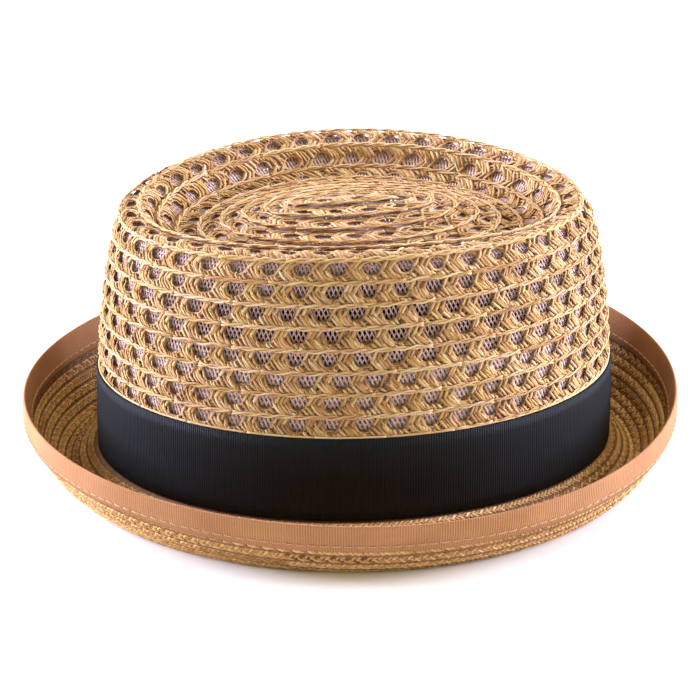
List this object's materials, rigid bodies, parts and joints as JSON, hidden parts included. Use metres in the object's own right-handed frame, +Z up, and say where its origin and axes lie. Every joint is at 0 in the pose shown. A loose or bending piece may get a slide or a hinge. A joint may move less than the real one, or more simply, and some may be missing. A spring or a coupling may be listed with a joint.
{
  "type": "straw hat",
  "caption": "Pork-pie style straw hat with an open lace braid crown, dark ribbon band and upturned bound brim, worn on the head against the sun.",
  "frame": {"origin": "middle of the bounding box on the resting plane, under the crown", "axes": "+Z up out of the crown's tip, +X along the head's long axis, +Y to the side where the rim stands highest"},
  "size_m": [0.262, 0.2387, 0.1122],
  "materials": {
    "lace_straw": "satin plaited paper straw",
    "brim_straw": "matt plaited paper straw",
    "band_ribbon": "ribbed ribbon",
    "binding_ribbon": "ribbed ribbon",
    "lining_net": "fine knitted net"
  },
  "bodies": {
    "root": {"crown": "lace_straw", "crown_lining": "lining_net", "hat_band": "band_ribbon", "brim": "brim_straw", "brim_binding": "binding_ribbon"}
  },
  "joints": []
}
